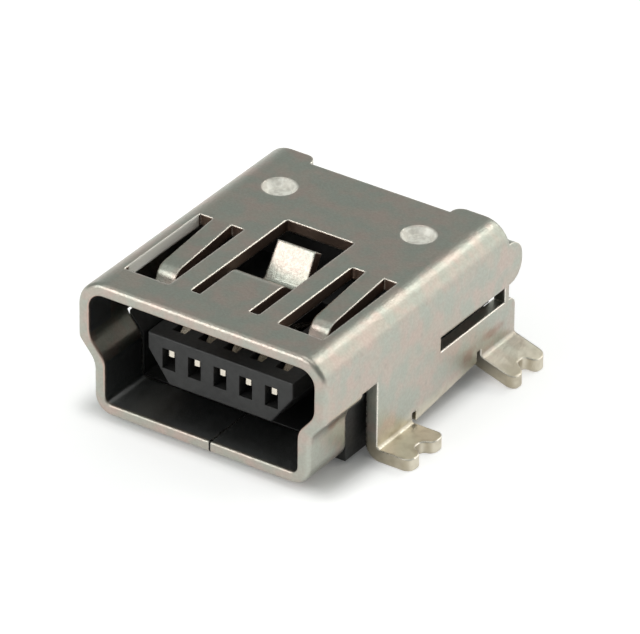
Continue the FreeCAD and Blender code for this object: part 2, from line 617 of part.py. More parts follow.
# For each contact: a hole under the lip, an open groove, and a channel.
BOW_START = "(%s + dims.bow_rise)" % GROOVE_START
BOW_END = "(%s + dims.bow_long + dims.bow_fall)" % BOW_START
GROOVE_END = "(%s + dims.groove_rear)" % BOW_END
CHANNEL_LOW = "(dims.beam_level - dims.contact_fit)"
CHANNEL_HIGH = "(dims.beam_level + dims.contact_gauge + dims.contact_fit)"
CHANNEL_WIDTH = "(dims.contact_width + 2 * dims.contact_fit)"


def contact_x(k):
    """Sideways place of a contact's middle."""
    return "(%d) * dims.contact_pitch" % (k - MIDDLE_CONTACT)


def five_rectangles(sketch, width, low, high):
    """One rectangle for each contact, around its middle."""
    for k in range(CONTACT_COUNT):
        add_outline(sketch, rectangle("%s - %s / 2" % (contact_x(k), width), low,
                                      "%s + %s / 2" % (contact_x(k), width), high))


holes_sketch = new_sketch(housing, "holes_outline", "XZ_Plane", "-" + GROOVE_END)
five_rectangles(holes_sketch, "dims.groove_width", "dims.groove_low", "dims.lip_under")
pocket(housing, "holes", holes_sketch, GROOVE_END, reversed_=True)
grooves_sketch = new_sketch(housing, "grooves_outline", "XY_Plane", "dims.groove_low")
five_rectangles(grooves_sketch, "dims.groove_width", GROOVE_START, GROOVE_END)
pocket(housing, "grooves", grooves_sketch, TONGUE_TOP, reversed_=True)
channels_sketch = new_sketch(housing, "channels_outline", "XZ_Plane",
                             "dims.contact_fit - " + GROOVE_END)
five_rectangles(channels_sketch, CHANNEL_WIDTH, CHANNEL_LOW, CHANNEL_HIGH)
pocket(housing, "channels", channels_sketch, "dims.roof_depth")

# Hollows under the shell's dimples.
HOLLOW_LOW = "(%s - dims.dimple_deep - dims.side_clearance)" % CEILING
HOLLOW_R = "(%s - dims.dimple_deep + %s + dims.side_clearance)" % (DIMPLE_R, DIMPLE_WALL)
for side_name, dimple_x in (("right", DIMPLE_X), ("left", "-" + DIMPLE_X)):
    add_cone(housing, "SubtractiveCone", side_name + "_hollow",
             dimple_x, DIMPLE_Y, HOLLOW_LOW, HOLLOW_R,
             "%s + 2 * dims.dimple_deep" % HOLLOW_R, "2 * dims.dimple_deep")


# Five contacts, each bent from one strip.
DROP_FRONT = "(dims.roof_depth + dims.drop_gap + dims.strip_round)"
contact_path = [
    ("dims.tongue_start + dims.tip_set_back", "dims.tip_level"),
    (GROOVE_START, "dims.tip_level"),
    (BOW_START, "dims.bow_level"),
    (BOW_START + " + dims.bow_long", "dims.bow_level"),
    (BOW_END, "dims.beam_level"),
    (DROP_FRONT, "dims.beam_level"),
    (DROP_FRONT, "0"),
    (TAIL_END, "0")]
tip = [(number(contact_path[0][0]),)]
contacts = []
for k in range(CONTACT_COUNT):
    name = "contact_%d" % (k + 1)
    contact = new_body(name)
    sketch = new_sketch(contact, name + "_outline", "YZ_Plane",
                        contact_x(k) + " - dims.contact_width / 2")
    add_outline(sketch, strip(contact_path, "dims.contact_gauge", 1))
    bent = pad(contact, name + "_strip", sketch, "dims.contact_width")
    bent = fillet(contact, name + "_tip", bent, "dims.contact_tip_round",
                  lambda edge: is_along(edge, Z_AXIS) and is_at(edge, tip, "y"))
    round_strip(contact, name, bent, contact_path, "dims.contact_gauge", 1,
                "dims.strip_round")
    contacts.append(contact)

# Check every object, then write one file for each node.
doc.recompute()
for thing in doc.Objects:
    if "Invalid" in thing.State or "Error" in thing.State:
        raise RuntimeError("%s is not valid: %s" % (thing.Name, thing.State))
os.makedirs("parts", exist_ok=True)
for node in [shell, housing] + contacts:
    shape = node.Shape
    if shape.isNull() or not shape.isValid() or len(shape.Solids) != 1:
        raise RuntimeError("%s has no sound single solid" % node.Name)
    shape.exportStep(os.path.join("parts", node.Name + ".step"))
    print(node.Name, round(shape.Volume, 4), shape.BoundBox)
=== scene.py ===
import math

import bmesh
import bpy
from mathutils import Matrix, Vector


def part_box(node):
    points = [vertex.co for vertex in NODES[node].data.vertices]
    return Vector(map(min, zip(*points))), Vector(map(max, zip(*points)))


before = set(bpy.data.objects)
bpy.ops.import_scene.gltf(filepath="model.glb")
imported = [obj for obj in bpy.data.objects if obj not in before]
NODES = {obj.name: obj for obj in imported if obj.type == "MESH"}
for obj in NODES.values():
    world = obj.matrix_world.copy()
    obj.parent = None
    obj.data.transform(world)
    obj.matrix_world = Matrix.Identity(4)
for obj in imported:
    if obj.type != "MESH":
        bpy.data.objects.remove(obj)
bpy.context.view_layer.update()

bl_info = {
    "name": "Board Socket Finish",
    "version": (1, 0, 0),
    "blender": (4, 5, 0),
    "location": "3D View > Sidebar > Socket",
    "description": "Finishes and stage for a small board socket",
    "category": "Object",
}

MM = 0.001
CONTACT_NAMES = sorted(name for name in NODES if name.startswith("contact_"))
SHELL_LOW, SHELL_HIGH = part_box("shell")
HOUSING_HALF_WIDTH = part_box("housing")[1].x


# Sizes and colours that a user would change.

def colour(name, description, default):
    """Property for a colour."""
    return bpy.props.FloatVectorProperty(
        name=name, description=description, subtype="COLOR", size=3,
        min=0.0, max=1.0, default=default)


def length(name, description, default):
    """Property for a length in metres."""
    return bpy.props.FloatProperty(
        name=name, description=description, unit="LENGTH", precision=6,
        min=0.0, default=default)


def share(name, description, default):
    """Property for a number from 0 to 1."""
    return bpy.props.FloatProperty(
        name=name, description=description, subtype="FACTOR",
        min=0.0, max=1.0, default=default)


def angle(name, description, degrees):
    """Property for an angle, with its default in degrees."""
    return bpy.props.FloatProperty(
        name=name, description=description, subtype="ANGLE",
        default=math.radians(degrees))


class PlatingSettings(bpy.types.PropertyGroup):
    """Finish of the folded metal shell."""
    plating: colour("Plating", "Dull nickel on the sheet's faces", (0.515, 0.48, 0.42))
    warm_patch: colour("Warm patches", "Faint pinkish clouds in the plating",
                       (0.56, 0.46, 0.41))
    cool_patch: colour("Cool patches", "Faint greenish clouds in the plating",
                       (0.43, 0.475, 0.42))
    # Also the colour of the painted shade under the step.
    stain_and_shade: colour("Stains", "Brown bloom beside the bent places", (0.36, 0.23, 0.19))
    tin: colour("Tinned feet", "Yellowish tin on the solder feet", (0.68, 0.63, 0.52))
    burr: colour("Burr", "Pinkish copper along the mouth's inner edge",
                 (0.62, 0.46, 0.39))
    # Painted shade: a darker grey laid over the inside of the mouth.
    inside: colour("Inside", "Unpolished inside of the mouth", (0.36, 0.37, 0.37))
    # Also the colour of the painted shade on the feet's front faces.
    flux_and_shade: colour("Flux", "Olive brown film on the solder feet", (0.36, 0.31, 0.22))
    bare_cut: colour("Bare cut", "Copper alloy that shows where the sheet was sheared",
                     (0.25, 0.15, 0.11))
    # Painted highlight: near white laid in the dimples and at the left opening's cut
    # edge.
    painted_highlight: colour("Coined spots", "Bright metal in the two pressed dimples",
                   (0.98, 0.96, 0.89))
    # Partly wear and partly painted highlight: near-white metal laid along every edge.
    worn_edge_and_highlight: colour("Worn edge", "Bright metal along the sheet's edges",
                      (0.90, 0.86, 0.78))
    pit: colour("Pits", "Dull metal in the plating's pits", (0.25, 0.24, 0.21))
    # Painted shade: the shadow in the narrow gap of the seam.
    seam: colour("Seam", "Dark line where the sheet's two ends meet",
                 (0.06, 0.056, 0.05))
    roughness: share("Roughness", "Roughness of the plated faces", 0.36)
    edge_width: length("Edge width", "Width of the rounding along the sheet's edges",
                       0.08 * MM)
    tinned_height: length("Tinned height", "How far the tin reaches up the legs",
                          0.70 * MM)
    patch_size: length("Patch size", "Size of a cloud in the plating", 0.6 * MM)
    # Place and size of the dimples' painted highlight.
    dimple_x: length("Dimple offset", "Centre plane to a dimple's middle", 2.18 * MM)
    dimple_y: length("Dimple place", "Origin to a dimple's middle, rearwards", 2.05 * MM)
    dimple_radius: length("Dimple radius", "Radius of a dimple's bright spot",
                          0.50 * MM)


class MouldingSettings(bpy.types.PropertyGroup):
    """Finish of the black housing."""
    black: colour("Black", "Colour of the moulding", (0.020, 0.020, 0.020))
    dusty: colour("Dull patches", "Greyer clouds in the moulding", (0.034, 0.034, 0.033))
    roughness: share("Roughness", "Roughness of the moulding", 0.45)
    edge_width: length("Edge width", "Width of the rounding along the moulding's edges",
                       0.025 * MM)
    grain_size: length("Grain size", "Size of the spark-eroded grain", 0.045 * MM)


class ContactSettings(bpy.types.PropertyGroup):
    """Finish of the five bent contacts."""
    bright: colour("Bright plating", "Pale plating of a contact", (0.78, 0.72, 0.62))
    bronze: colour("Bronze", "Spring bronze on a contact's sheared sides",
                   (0.50, 0.37, 0.24))
    # Painted shade: darker metal on the bows under the roof.
    bow_shade: colour("Dull bow", "Darker metal where the contacts stand in the mouth",
                 (0.26, 0.22, 0.17))
    roughness: share("Roughness", "Roughness of a contact", 0.22)
    edge_width: length("Edge width", "Width of the rounding along a contact's edges",
                       0.015 * MM)


class StageSettings(bpy.types.PropertyGroup):
    """Camera, lamps and floor."""
    azimuth: angle("Azimuth", "Turn of the camera to the right of the mouth's axis",
                   33.74)
    elevation: angle("Elevation", "Height of the camera above the horizon", 31.06)
    roll: angle("Roll", "Tilt of the camera about its own axis", 0.62)
    distance: length("Distance", "Camera to the point it is aimed at", 200 * MM)
    pixels_per_mm: bpy.props.FloatProperty(
        name="Scale", description="Pixels of the picture that a millimetre takes up",
        min=1.0, default=38.53)
    anchor: bpy.props.FloatVectorProperty(
        name="Anchor", description="Point of the object whose pixel is known",
        subtype="XYZ", unit="LENGTH", size=3, default=(0.0, -0.25 * MM, 2.2 * MM))
    anchor_pixel: bpy.props.FloatVectorProperty(
        name="Anchor pixel", description="Where that point lies in the picture",
        size=2, default=(298.9, 309.3))
    floor_colour: colour("Floor", "Colour of the floor", (0.80, 0.80, 0.80))
    floor_lift: share("Floor lift", "Light that the floor adds so that it shows white",
                      0.50)
    shaded_lift: share("Shaded lift", "The same under the object, in its shadow", 0.07)
    shade_reach: length("Shade reach", "How far that shade reaches past the object",
                        1.0 * MM)
    floor_size: length("Floor size", "Side of the square floor", 4.0)
    sky: colour("Surroundings", "Colour of the light from above", (0.345, 0.372, 0.36))
    horizon: colour("Horizon", "Colour of the light from behind, low down",
                    (0.78, 0.78, 0.77))
    front_share: share("Front share", "Strength of the surroundings in front", 0.62)


# Node helpers.

def put(tree, kind, values=None, **settings):
    """Add a node. A value that is a socket is linked, and any other is written in."""
    made = tree.nodes.new(kind)
    for name, setting in settings.items():
        setattr(made, name, setting)
    for key, value in (values or {}).items():
        if isinstance(value, bpy.types.NodeSocket):
            tree.links.new(value, made.inputs[key])
        else:
            made.inputs[key].default_value = value
    return made


def figure(tree, operation, *values, **settings):
    """Result of a Math node."""
    return put(tree, "ShaderNodeMath", dict(enumerate(values)),
               operation=operation, **settings).outputs[0]


def vector(tree, operation, *values):
    """Vector that a Vector Math node gives."""
    return put(tree, "ShaderNodeVectorMath", dict(enumerate(values)),
               operation=operation).outputs[0]


def measure(tree, operation, *values):
    """Number that a Vector Math node gives."""
    return put(tree, "ShaderNodeVectorMath", dict(enumerate(values)),
               operation=operation).outputs[1]


def scaled(tree, source, factor):
    """A vector times a number or a number's socket."""
    return put(tree, "ShaderNodeVectorMath", {"Vector": source, "Scale": factor},
               operation="SCALE").outputs[0]


def split(tree, source):
    """The three parts of a vector."""
    return put(tree, "ShaderNodeSeparateXYZ", {0: source}).outputs


def blended(tree, factor, first, second):
    """Colour between two colours."""
    mix = put(tree, "ShaderNodeMix", data_type="RGBA")
    for socket, value in ((mix.inputs[0], factor), (mix.inputs[6], first),
                          (mix.inputs[7], second)):
        if isinstance(value, bpy.types.NodeSocket):
            tree.links.new(value, socket)
        elif isinstance(value, float):
            socket.default_value = value
        else:
            socket.default_value = (*value, 1.0)
    return mix.outputs[2]


def tinted(tree, tone, mask, amount, tint):
    """A tone that takes on a share of a tint where a mask is 1."""
    return blended(tree, figure(tree, "MULTIPLY", mask, amount), tone, tint)


def summed(tree, start, terms):
    """A number plus several masks, each times an amount of its own."""
    total = start
    for mask, amount in terms:
        total = figure(tree, "MULTIPLY_ADD", mask, amount, total)
    return total


def ramped(tree, value, low, high, to_low=0.0, to_high=1.0):
    """A value carried smoothly from one range into another and held at its ends."""
    return put(tree, "ShaderNodeMapRange",
               {"Value": value, "From Min": low, "From Max": high,
                "To Min": to_low, "To Max": to_high},
               interpolation_type="SMOOTHSTEP").outputs[0]


def falling(tree, value, low, high):
    """Mask that is 1 up to a low value and 0 from a high one on."""
    return ramped(tree, value, low, high, 1.0, 0.0)


def noise(tree, place, scale, detail, seed=None):
    """Noise from 0 to 1. A seed gives another one of the same kind."""
    values = {"Vector": place, "Scale": scale, "Detail": detail}
    settings = {}
    if seed is not None:
        values["W"] = seed
        settings["noise_dimensions"] = "4D"
    return put(tree, "ShaderNodeTexNoise", values, **settings).outputs[0]


def own_place(tree):
    """The shaded point in the object's own coordinates, in metres."""
    return put(tree, "ShaderNodeTexCoord").outputs["Object"]


def own_steps(tree, step):
    """The shaded point in the object's own coordinates, in steps of a length."""
    return scaled(tree, own_place(tree), figure(tree, "DIVIDE", 1.0, step))


def normals(tree):
    """The Geometry node's outputs, with the shaded and the true normal."""
    return put(tree, "ShaderNodeNewGeometry").outputs


# Node groups, one for each effect that the materials are made of.

# Part of a noise or of a distance that is drawn out into a mask from 0 to 1.
CLOUD_RANGE = (0.36, 0.64)
GRAIN_RANGE = (0.3, 0.7)
PIT_CHANCE = (0.55, 0.95)
BLOOM_FADE = (0.2, 1.0)

# Scale and detail of the two kinds of cloud.
CLOUD_KINDS = (("Broad", 1.0, 2.0), ("Fine", 9.0, 4.0))

BLOOM_RAGGEDNESS = 1.6
BLOOM_NOISE_SCALE = 2.6 / MM
NOISE_MIDDLE = 0.5
LEAST_REACH = 0.001
DEFAULT_SOFTNESS = 0.05 * MM


def new_group(name, inputs, outputs):
    """An empty group with named sockets, and its two end nodes."""
    group = bpy.data.node_groups.new(name, "ShaderNodeTree")
    for label, kind, default in inputs:
        socket = group.interface.new_socket(label, in_out="INPUT", socket_type=kind)
        socket.default_value = default
    for label, kind in outputs:
        group.interface.new_socket(label, in_out="OUTPUT", socket_type=kind)
    return group, group.nodes.new("NodeGroupInput"), group.nodes.new("NodeGroupOutput")


def region_group():
    """Mask that is 1 inside a box and falls to 0 at its faces."""
    group, given, result = new_group(
        "Region",
        [("Low", "NodeSocketVector", (0, 0, 0)), ("High", "NodeSocketVector", (0, 0, 0)),
         ("Softness", "NodeSocketFloat", DEFAULT_SOFTNESS)],
        [("Mask", "NodeSocketFloat")])
    place = own_place(group)
    steep = figure(group, "DIVIDE", 1.0, given.outputs["Softness"])
    sides = []
    for first, second in ((place, given.outputs["Low"]), (given.outputs["High"], place)):
        inside = scaled(group, vector(group, "SUBTRACT", first, second), steep)
        inside = vector(group, "MAXIMUM", inside, (0, 0, 0))
        sides.append(vector(group, "MINIMUM", inside, (1, 1, 1)))
    across, along, up = split(group, vector(group, "MULTIPLY", *sides))
    mask = figure(group, "MULTIPLY", figure(group, "MULTIPLY", across, along), up)
    group.links.new(mask, result.inputs["Mask"])
    return group


def spot_group():
    """Mask that is 1 inside an upright round spot and falls to 0 at its rim."""
    group, given, result = new_group(
        "Round Spot",
        [("Centre", "NodeSocketVector", (0, 0, 0)), ("Radius", "NodeSocketFloat", MM),
         ("Softness", "NodeSocketFloat", DEFAULT_SOFTNESS)],
        [("Mask", "NodeSocketFloat")])
    offset = vector(group, "SUBTRACT", own_place(group), given.outputs["Centre"])
    away = measure(group, "LENGTH", vector(group, "MULTIPLY", offset, (1, 1, 0)))
    inside = figure(group, "SUBTRACT", given.outputs["Radius"], away)
    mask = figure(group, "DIVIDE", inside, given.outputs["Softness"], use_clamp=True)
    group.links.new(mask, result.inputs["Mask"])
    return group


def clouds_group():
    """Soft clouds, and finer ones, for uneven colour and gloss."""
    group, given, result = new_group(
        "Clouds",
        [("Size", "NodeSocketFloat", MM), ("Seed", "NodeSocketFloat", 0.0)],
        [("Broad", "NodeSocketFloat"), ("Fine", "NodeSocketFloat")])
    place = own_steps(group, given.outputs["Size"])
    for label, scale, detail in CLOUD_KINDS:
        clouds = noise(group, place, scale, detail, given.outputs["Seed"])
        group.links.new(ramped(group, clouds, *CLOUD_RANGE), result.inputs[label])
    return group


def grain_group():
    """Fine lines that run along the sheet from front to rear, as rolling leaves."""
    group, given, result = new_group(
        "Rolled Grain",
        [("Spacing", "NodeSocketFloat", 0.02 * MM),
         ("Length", "NodeSocketFloat", 0.8 * MM)],
        [("Lines", "NodeSocketFloat")])
    across = figure(group, "DIVIDE", 1.0, given.outputs["Spacing"])
    along = figure(group, "DIVIDE", 1.0, given.outputs["Length"])
    stretch = put(group, "ShaderNodeCombineXYZ", {0: across, 1: along, 2: across})
    place = vector(group, "MULTIPLY", own_place(group), stretch.outputs[0])
    lines = noise(group, place, scale=1.0, detail=3.0)
    group.links.new(ramped(group, lines, *GRAIN_RANGE), result.inputs["Lines"])
    return group


def pits_group():
    """Sparse round pits, as dust under plating or sparks in a mould leave."""
    group, given, result = new_group(
        "Pits",
        [("Spacing", "NodeSocketFloat", 0.3 * MM), ("Radius", "NodeSocketFloat", 0.15)],
        [("Mask", "NodeSocketFloat")])
    place = own_steps(group, given.outputs["Spacing"])
    cells = put(group, "ShaderNodeTexVoronoi", {"Vector": place, "Scale": 1.0}).outputs
    lucky = ramped(group, split(group, cells["Color"])[0], *PIT_CHANCE)
    reach = figure(group, "MULTIPLY", given.outputs["Radius"], lucky)
    inside = figure(group, "SUBTRACT", reach, cells["Distance"])
    mask = figure(group, "DIVIDE", inside, figure(group, "ADD", reach, LEAST_REACH),
                  use_clamp=True)
    group.links.new(mask, result.inputs["Mask"])
    return group


def bloom_group():
    """Mask of a ragged patch that fades out around a centre, for stains and for painted
    shade.
    """
    group, given, result = new_group(
        "Bloom",
        [("Centre", "NodeSocketVector", (0, 0, 0)),
         ("Reach", "NodeSocketVector", (1, 1, 1))],
        [("Mask", "NodeSocketFloat")])
    place = own_place(group)
    offset = vector(group, "SUBTRACT", place, given.outputs["Centre"])
    away = measure(group, "LENGTH",
                   vector(group, "DIVIDE", offset, given.outputs["Reach"]))
    ragged = noise(group, place, scale=BLOOM_NOISE_SCALE, detail=3.0)
    ragged = figure(group, "SUBTRACT", ragged, NOISE_MIDDLE)
    away = figure(group, "MULTIPLY_ADD", ragged, BLOOM_RAGGEDNESS, away)
    group.links.new(falling(group, away, *BLOOM_FADE), result.inputs["Mask"])
    return group


GROUP_MAKERS = {
    "Bloom": bloom_group,
    "Region": region_group,
    "Round Spot": spot_group,
    "Clouds": clouds_group,
    "Rolled Grain": grain_group,
    "Pits": pits_group,
}


def shared(tree, name, values):
    """Place a shared group in a material, with values of its own."""
    group = bpy.data.node_groups.get(name) or GROUP_MAKERS[name]()
    return put(tree, "ShaderNodeGroup", values, node_tree=group).outputs


def region(tree, corners, softness=DEFAULT_SOFTNESS):
    """Mask of the box between a low and a high corner."""
    low, high = corners
    return shared(tree, "Region", {"Low": low, "High": high,
                                   "Softness": softness})["Mask"]


def new_material(name):
    """A material with only a Principled shader and its output."""
    material = bpy.data.materials.new(name)
    material.use_nodes = True
    tree = material.node_tree
    tree.nodes.clear()
    shader = tree.nodes.new("ShaderNodeBsdfPrincipled")
    output = tree.nodes.new("ShaderNodeOutputMaterial")
    tree.links.new(shader.outputs[0], output.inputs["Surface"])
    return material, tree, shader


# How alike the turned and the flat normal are, from an edge to a plain face.
EDGE_LIKENESS = (0.78, 0.98)
EDGE_SAMPLES = 8


def raise_surface(tree, shader, height, distance, rounded):
    """Turn a height from 0 to 1 into a bump of a real depth on rounded edges."""
    bump = put(tree, "ShaderNodeBump",
               {"Height": height, "Distance": distance, "Normal": rounded})
    tree.links.new(bump.outputs[0], shader.inputs["Normal"])


def rounded_edges(tree, width):
    """Normal that turns smoothly over the edges, and a mask of those edges."""
    rounded = put(tree, "ShaderNodeBevel", {"Radius": width},
                  samples=EDGE_SAMPLES).outputs[0]
    alike = measure(tree, "DOT_PRODUCT", rounded, normals(tree)["Normal"])
    return rounded, falling(tree, alike, *EDGE_LIKENESS)


# Where the finishes change. A box is given by its low and its high corner.

def in_metres(*millimetres):
    """A point or a reach that is written in millimetres."""
    return tuple(number * MM for number in millimetres)


ROOF_OPENINGS = (
    (-3.15 * MM, SHELL_LOW.y + 0.6 * MM, 2.8 * MM),
    (3.15 * MM, 1.2 * MM, SHELL_HIGH.z + 0.1 * MM),
)
MOUTH_RIM = (
    (-4.5 * MM, SHELL_LOW.y - 0.2 * MM, -0.1 * MM),
    (4.5 * MM, SHELL_LOW.y + 0.06 * MM, SHELL_HIGH.z + 0.2 * MM),
)
# Boxes inside the mouth that take the painted shade.
MOUTH_INSIDE_SHADE = (
    (in_metres(-3.1, -4.68, 0.44), in_metres(3.1, -2.9, 1.75)),
    (in_metres(-3.58, -4.68, 2.45), in_metres(3.58, -3.72, 3.8)),
)
# Box of the painted shade along the seam.
MOUTH_SEAM_SHADE = (in_metres(0.26, -5.0, 0.0), in_metres(0.34, -4.58, 0.8))
# Box of the painted highlight at the left opening's cut edge.
LEFT_SLOT_HIGHLIGHT = (in_metres(-3.13, -3.55, 3.68), in_metres(-3.02, -0.35, 4.2))
# Box of the painted shade on the contacts' bows.
CONTACT_BOW_SHADE = (in_metres(-5, -3.45, 1.9), in_metres(5, 0.6, 3))
MOUTH_MIDDLE = (0, 0, 2.2 * MM)

# Middle and reach of each patch: two stains beside the right rear foot, and painted
# shade under the step.
STAINS_AND_SHADE = (
    (in_metres(3.85, 1.95, 1.02), in_metres(1.0, 0.55, 0.36)),
    (in_metres(3.85, 3.10, 1.20), in_metres(1.0, 0.70, 0.22)),
    # Painted shade under the step's overhang.
    (in_metres(3.50, -3.65, 1.75), in_metres(1.0, 0.40, 0.38)),
)

# Start and end of the slope of a mask along one axis.
OUTSIDE_WALLS = (3.45 * MM, 3.55 * MM)
ROOF_HEIGHTS = (3.7 * MM, 3.8 * MM)
BURR_DEPTHS = (SHELL_LOW.y + 0.06 * MM, SHELL_LOW.y + 0.12 * MM)
BURR_HEIGHTS = (0.7 * MM, 1.3 * MM)

# The same for how far a face leans towards an axis, where 1 is straight at it.
UPRIGHT_LEAN = (0.15, 0.35)
RIM_FRONT_LEAN = (-0.95, -0.75)
FOOT_FRONT_LEAN = (-0.95, -0.5)
INWARD_LEAN = (-0.45, -0.1)
SIDEWAYS_LEAN = (0.6, 0.9)

# The same for the tin, as shares of its height up the legs.
TIN_FADE = (0.5, 1.2)

# Share of a tint that each mask lays over the tone below it.
PATCH_TINT = 0.75
SPECKLE_TINT = 0.13
FILM_TINT = 0.6
FOOT_FRONT_SHADE_TINT = 0.55
HIGHLIGHT_CLOUD_TINT = 0.5
SHEARED_TINT = 0.85
RIM_FRONT_TINT = 0.12
BURR_TINT = 0.8
LOW_BURR_TINT = 0.15
STAIN_AND_SHADE_TINT = 0.6
PIT_TINT = 0.35
WORN_AND_HIGHLIGHT_TINT = 0.95
DUST_TINT = 0.5
BRONZE_TINT = 0.7
BOW_SHADE_TINT = 0.85

# How matt the dimples and the cut faces are, where 1 is no metal at all.
MATT_DIMPLES = 0.65
MATT_CUTS = 0.12

# What each mask adds to the roughness where it is 1.
PLATING_CLOUD_DULLING = 0.08
MOULDING_CLOUD_DULLING = 0.14
CONTACT_CLOUD_DULLING = 0.1
GRAIN_DULLING = 0.03
DIMPLE_DULLING = 0.15
EDGE_DULLING = -0.1

# Taken off the set roughness, about as much as the clouds and the grain add.
PLATING_EVENING = 0.05
MOULDING_EVENING = 0.06
CONTACT_EVENING = 0.04

# Shares of the plating's relief, and the depth of the relief in each finish.
GRAIN_RELIEF = 0.25
CLOUD_RELIEF = 0.75
PIT_RELIEF = -1.0
PLATING_RELIEF = 0.0018 * MM
MOULDING_RELIEF = 0.0007 * MM
CONTACT_RELIEF = 0.0005 * MM


# Materials of the object.

def plating_tone(tree, settings):
    """Colour of the sheet with its tinned feet, the painted shade on the feet's front
    faces, and the clouds in it.
    """
    clouds = shared(tree, "Clouds", {"Size": settings.patch_size, "Seed": 1.7})
    other = shared(tree, "Clouds", {"Size": settings.patch_size, "Seed": 8.2})
    tone = tinted(tree, settings.plating, clouds["Broad"], PATCH_TINT,
                  settings.warm_patch)
    tone = tinted(tree, tone, other["Broad"], PATCH_TINT, settings.cool_patch)
    tone = tinted(tree, tone, other["Fine"], SPECKLE_TINT, settings.bare_cut)
    film = shared(tree, "Clouds", {"Size": 0.42 * MM, "Seed": 2.6})["Broad"]
    tin = tinted(tree, settings.tin, film, FILM_TINT, settings.flux_and_shade)
    # Painted shade: the feet's faces that look to the front are darker.
    forward = split(tree, normals(tree)["True Normal"])[1]
    tin = tinted(tree, tin, falling(tree, forward, *FOOT_FRONT_LEAN), FOOT_FRONT_SHADE_TINT,
                 settings.flux_and_shade)
    across, _, height = split(tree, own_place(tree))
    beside = ramped(tree, figure(tree, "ABSOLUTE", across), *OUTSIDE_WALLS)
    low, high = (part * settings.tinned_height for part in TIN_FADE)
    tinned = figure(tree, "MULTIPLY", falling(tree, height, low, high), beside)
    return blended(tree, tinned, tone, tin), clouds


def dimple_highlights(tree, settings):
    """Mask of the painted highlights in the two pressed dimples in the roof."""
    left, right = (shared(tree, "Round Spot", {
        "Centre": (side * settings.dimple_x, settings.dimple_y, 0),
        "Radius": settings.dimple_radius, "Softness": 0.06 * MM})["Mask"]
        for side in (-1, 1))
    height = split(tree, own_place(tree))[2]
    return figure(tree, "MULTIPLY", figure(tree, "ADD", left, right),
                  ramped(tree, height, *ROOF_HEIGHTS))


def sheared_faces(tree):
    """Mask of the cut faces of the roof's openings and tabs, and of the rim."""
    _, forward, upward = split(tree, normals(tree)["True Normal"])
    upright = falling(tree, figure(tree, "ABSOLUTE", upward), *UPRIGHT_LEAN)
    roof = figure(tree, "MULTIPLY", upright, region(tree, ROOF_OPENINGS))
    front = ramped(tree, forward, *RIM_FRONT_LEAN, RIM_FRONT_TINT, 0.0)
    return figure(tree, "MAXIMUM", roof,
                  figure(tree, "MULTIPLY", front, region(tree, MOUTH_RIM)))


def rim_burr(tree):
    """Mask of the mouth's inner edge, where the sheared sheet shows its copper."""
    place = own_place(tree)
    outward = vector(tree, "SUBTRACT", place, MOUTH_MIDDLE)
    outward = vector(tree, "NORMALIZE", vector(tree, "MULTIPLY", outward, (1, 0, 1)))
    facing = measure(tree, "DOT_PRODUCT", outward, normals(tree)["Normal"])
    _, depth, height = split(tree, place)
    near = figure(tree, "MULTIPLY", falling(tree, depth, *BURR_DEPTHS),
                  ramped(tree, height, *BURR_HEIGHTS, LOW_BURR_TINT, 1.0))
    return figure(tree, "MULTIPLY", near, falling(tree, facing, *INWARD_LEAN))


